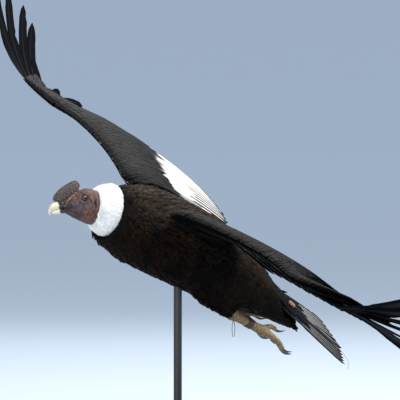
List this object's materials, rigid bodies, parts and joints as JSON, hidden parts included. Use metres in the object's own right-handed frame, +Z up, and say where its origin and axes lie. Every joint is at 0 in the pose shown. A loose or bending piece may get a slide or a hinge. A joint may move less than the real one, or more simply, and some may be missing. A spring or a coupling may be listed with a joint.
{
  "type": "andean condor model",
  "caption": "Life-size still model of an adult male Andean condor in banked gliding flight, held by a rod on a flat round base.",
  "frame": {"origin": "centre of the flat underside of the stand's base", "axes": "+Z up; the bird heads towards -Y, climbing and banked with its left wing, towards +X, held low"},
  "size_m": [2.7386, 1.065, 1.3745],
  "materials": {
    "plumage": "black contour and flight feathers, with a grey bloom and white wing panels above",
    "ruff": "soft white down",
    "skin": "bare wrinkled skin, pinkish brown and grey",
    "comb": "dark grey-brown wrinkled skin",
    "bill": "ivory horn, dark at its base",
    "eye": "dark brown glass eye",
    "leg": "pale tan scaly skin",
    "claw": "dark horn",
    "leather": "dark leather band",
    "wire": "thin steel wire",
    "transmitter": "small moulded case",
    "stand": "satin dark grey paint"
  },
  "bodies": {
    "root": {"torso": "plumage", "neck": "skin", "ruff": "ruff", "head": "skin", "comb": "comb", "bill_upper": "bill", "bill_lower": "bill", "eye_left": "eye", "eye_right": "eye", "wing_left": "plumage", "wing_right": "plumage", "tail": "plumage", "tail_transmitter": "transmitter", "tail_antenna": "wire", "thigh_left": "plumage", "thigh_right": "plumage", "shank_left": "leg", "shank_right": "leg", "foot_left": "leg", "foot_right": "leg", "claw_left_middle": "claw", "claw_left_outer": "claw", "claw_left_inner": "claw", "claw_left_hind": "claw", "claw_right_middle": "claw", "claw_right_outer": "claw", "claw_right_inner": "claw", "claw_right_hind": "claw", "anklet_left": "leather", "anklet_right": "leather", "wire_loop": "wire", "stand_base": "stand", "stand_rod": "stand"}
  },
  "joints": []
}
